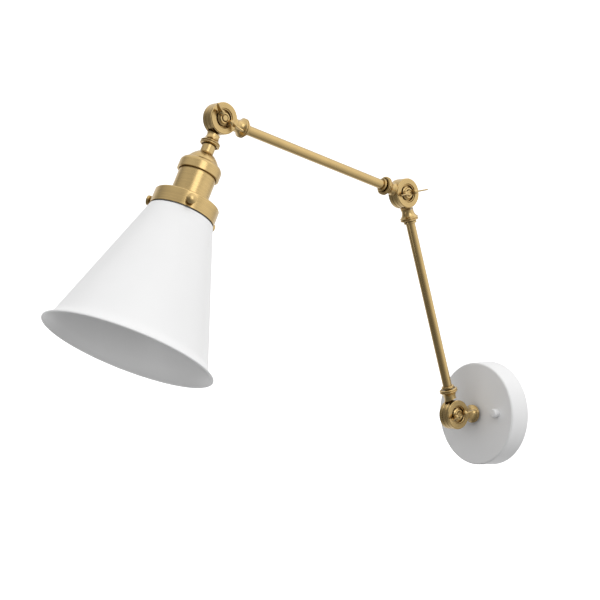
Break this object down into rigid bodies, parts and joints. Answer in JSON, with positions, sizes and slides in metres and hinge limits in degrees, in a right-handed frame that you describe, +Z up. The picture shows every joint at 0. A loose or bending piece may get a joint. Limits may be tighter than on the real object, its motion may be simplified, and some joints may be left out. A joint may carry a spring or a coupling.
{
  "type": "swing arm wall sconce",
  "caption": "Wall lamp with a round canopy, two jointed tubular arms clamped by wing nuts, and a flared conical metal shade on a screw lampholder.",
  "frame": {"origin": "centre of the canopy's back on the wall plane, at the centre of the box-screw slots", "axes": "+Y into the wall (the lamp reaches out along -Y), +Z up, +X along the three hinge axes toward the wing nuts"},
  "size_m": [0.1782, 0.5818, 0.3876],
  "materials": {
    "satin_brass": "satin brushed antique brass",
    "white_enamel": "smooth gloss white enamel on spun steel",
    "zinc_steel": "zinc plated",
    "green_screw": "green passivated earth screw",
    "porcelain": "unglazed porcelain",
    "insulating_card": "pressed fibre sleeve",
    "shell_aluminium": "bare pressed shell",
    "fibre_washer": "dark fibre",
    "wire_insulation": "insulated flexible wire"
  },
  "bodies": {
    "base": {"canopy": "white_enamel", "mounting_plate": "zinc_steel", "ground_screw": "green_screw", "mounting_studs": "zinc_steel", "canopy_cap_nuts": "white_enamel"},
    "wall_swivel": {"wall_knuckle": "satin_brass", "wall_seat_ring": "satin_brass", "wall_nipple": "zinc_steel", "wall_lock_washer": "zinc_steel", "wall_locknut": "zinc_steel", "wall_spring_washer": "zinc_steel"},
    "lower_arm": {"lower_arm_wall_knuckle": "satin_brass", "lower_arm_elbow_knuckle": "satin_brass", "lower_arm_tube": "satin_brass", "lower_arm_ferrules": "satin_brass", "lower_arm_wires": "wire_insulation", "wall_hinge_bolt": "satin_brass", "wall_friction_washer": "fibre_washer", "elbow_hinge_bolt": "satin_brass", "elbow_friction_washer": "fibre_washer"},
    "upper_arm": {"upper_arm_elbow_knuckle": "satin_brass", "upper_arm_head_knuckle": "satin_brass", "upper_arm_tube": "satin_brass", "upper_arm_ferrules": "satin_brass", "upper_arm_wires": "wire_insulation", "elbow_spring_washer": "zinc_steel", "head_spring_washer": "zinc_steel"},
    "head": {"head_knuckle": "satin_brass", "head_hinge_bolt": "satin_brass", "head_friction_washer": "fibre_washer", "head_stem": "satin_brass", "stem_locknut": "zinc_steel", "socket_cap": "satin_brass", "socket_body": "satin_brass", "socket_insulator": "porcelain", "screw_shell": "shell_aluminium", "centre_contact": "satin_brass", "insulating_sleeve": "insulating_card", "terminal_screws": "satin_brass", "socket_leads": "wire_insulation", "shade_gallery": "satin_brass", "socket_ring_nut": "satin_brass", "shade": "white_enamel"},
    "wall_wing_nut": {"wall_wing_nut": "satin_brass"},
    "elbow_wing_nut": {"elbow_wing_nut": "satin_brass"},
    "head_wing_nut": {"head_wing_nut": "satin_brass"},
    "thumb_screw_1": {"shade_thumb_screw_1": "satin_brass"},
    "thumb_screw_2": {"shade_thumb_screw_2": "satin_brass"},
    "thumb_screw_3": {"shade_thumb_screw_3": "satin_brass"}
  },
  "joints": [
    {"name": "wall_swivel", "type": "hinge", "parent": "base", "child": "wall_swivel", "pos_m": [0, -0.05905, 0], "axis": [0, -1, 0], "range_deg": [-90, 90]},
    {"name": "wall_hinge", "type": "hinge", "parent": "wall_swivel", "child": "lower_arm", "pos_m": [0, -0.05905, 0], "axis": [-1, 0, 0], "range_deg": [-162.6, 17.4]},
    {"name": "elbow_hinge", "type": "hinge", "parent": "lower_arm", "child": "upper_arm", "pos_m": [0, -0.13704, 0.24887], "axis": [1, 0, 0], "range_deg": [-188.8, 71.2]},
    {"name": "head_hinge", "type": "hinge", "parent": "upper_arm", "child": "head", "pos_m": [0, -0.39031, 0.31107], "axis": [-1, 0, 0], "range_deg": [-46.6, 203.4]},
    {"name": "wall_wing_nut_turn", "type": "hinge", "parent": "lower_arm", "child": "wall_wing_nut", "pos_m": [0, -0.05905, 0], "axis": [1, 0, 0], "range_deg": [-180, 180]},
    {"name": "elbow_wing_nut_turn", "type": "hinge", "parent": "lower_arm", "child": "elbow_wing_nut", "pos_m": [0, -0.13704, 0.24887], "axis": [1, 0, 0], "range_deg": [-180, 180]},
    {"name": "head_wing_nut_turn", "type": "hinge", "parent": "head", "child": "head_wing_nut", "pos_m": [0, -0.39031, 0.31107], "axis": [1, 0, 0], "range_deg": [-180, 180]},
    {"name": "thumb_screw_1_travel", "type": "slide", "parent": "head", "child": "thumb_screw_1", "axis": [0.8988, -0.396, 0.188], "range_m": [0, 0.003]},
    {"name": "thumb_screw_2_travel", "type": "slide", "parent": "head", "child": "thumb_screw_2", "axis": [-0.829, -0.5051, 0.2399], "range_m": [0, 0.003]},
    {"name": "thumb_screw_3_travel", "type": "slide", "parent": "head", "child": "thumb_screw_3", "axis": [-0.0698, 0.9011, -0.4279], "range_m": [0, 0.003]}
  ]
}
